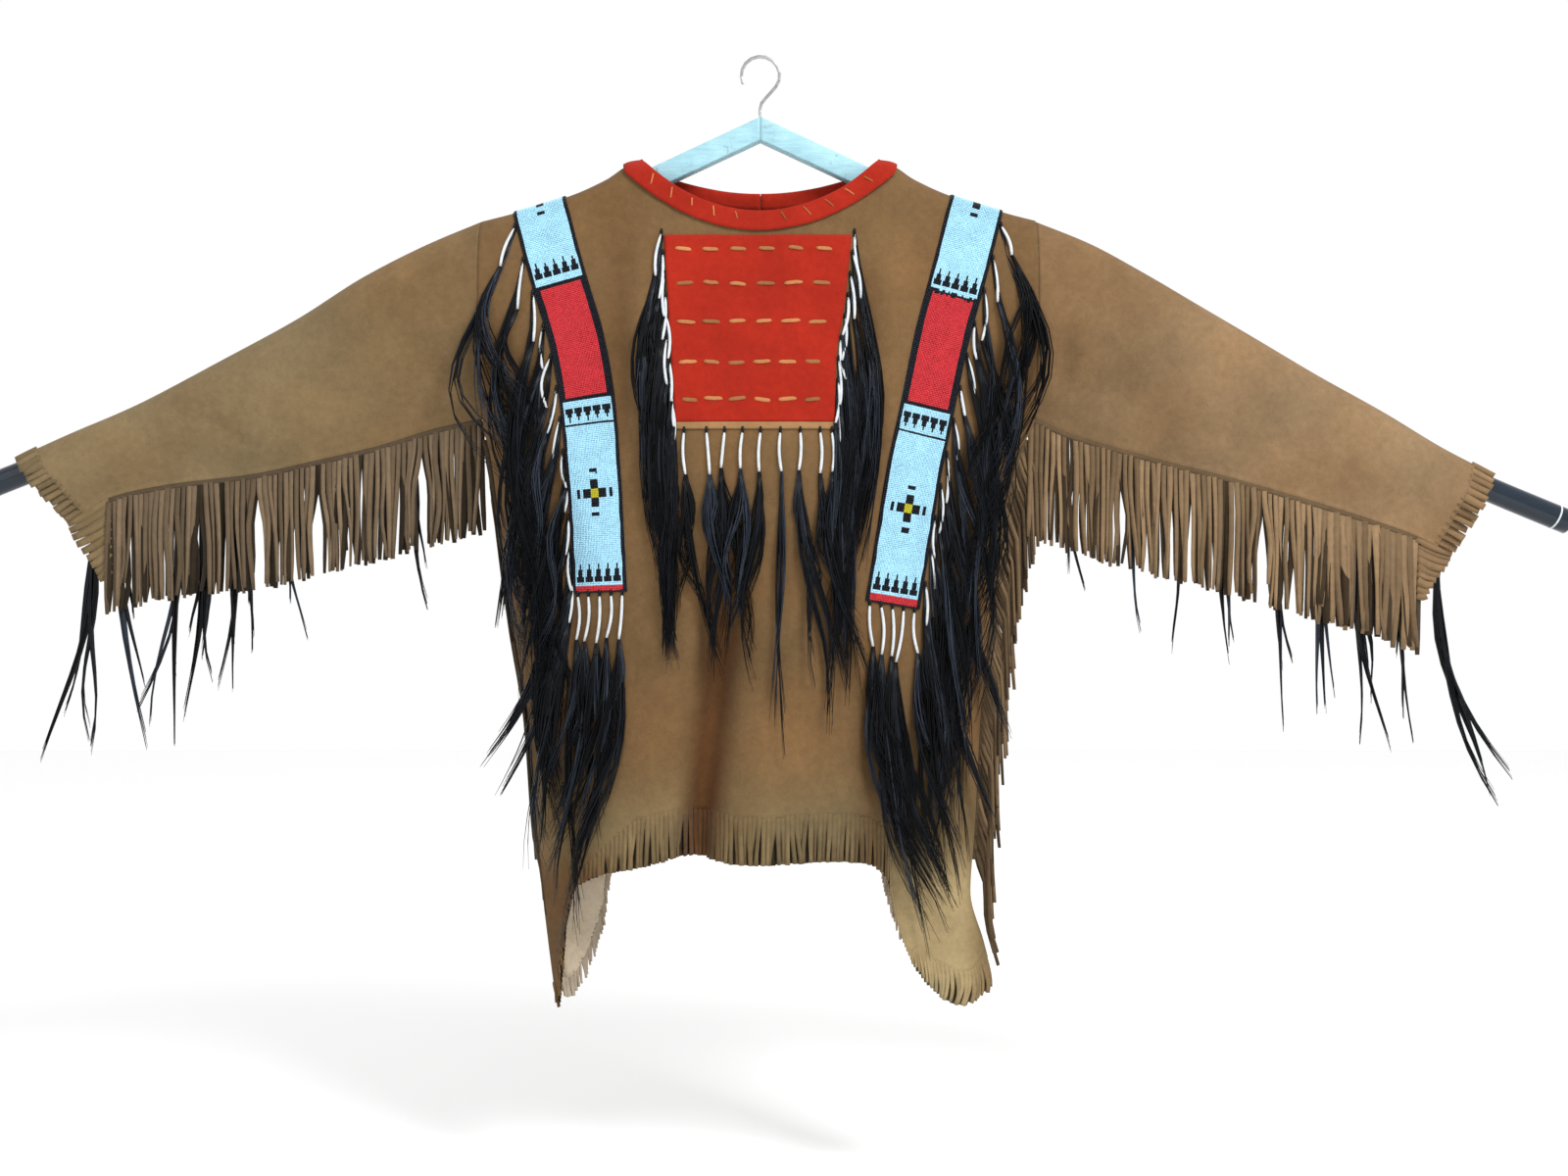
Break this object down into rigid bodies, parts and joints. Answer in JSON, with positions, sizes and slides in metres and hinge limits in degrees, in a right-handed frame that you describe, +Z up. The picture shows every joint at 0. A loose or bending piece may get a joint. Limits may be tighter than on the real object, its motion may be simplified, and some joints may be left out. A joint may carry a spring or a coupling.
{
  "type": "war shirt on a hanger",
  "caption": "Buckskin war shirt with red bib and collar, beaded shoulder strips, wrapped hair locks and suede fringe, hung with its sleeves spread on a board hanger and rods.",
  "frame": {"origin": "inside top of the hanger's hook, where the shirt is held", "axes": "+Z up, the shirt's front faces -Y, +X to the viewer's right along the sleeves"},
  "size_m": [1.8586, 0.1724, 1.0896],
  "materials": {
    "buckskin": "smoked suede",
    "fringe_suede": "suede, cut in strips",
    "red_suede": "dyed suede",
    "beadwork": "small glass beads in lanes",
    "hair": "glossy horse hair",
    "painted_board": "worn pale paint",
    "rod": "dark glossy pipe",
    "hook_wire": "plain wire"
  },
  "bodies": {
    "root": {"front_panel": "buckskin", "back_panel": "buckskin", "left_sleeve": "buckskin", "right_sleeve": "buckskin", "collar": "red_suede", "bib": "red_suede", "bib_edge": "buckskin", "left_beaded_strip": "beadwork", "right_beaded_strip": "beadwork", "bib_locks_left": "hair", "bib_locks_right": "hair", "bib_locks_bottom": "hair", "left_strip_locks_front": "hair", "right_strip_locks_front": "hair", "left_strip_locks_back": "hair", "right_strip_locks_back": "hair", "left_sleeve_fringe": "fringe_suede", "right_sleeve_fringe": "fringe_suede", "left_sleeve_locks": "hair", "right_sleeve_locks": "hair", "left_side_fringe": "fringe_suede", "right_side_fringe": "fringe_suede", "left_board": "painted_board", "right_board": "painted_board", "hook": "hook_wire", "left_rod": "rod", "right_rod": "rod"}
  },
  "joints": []
}
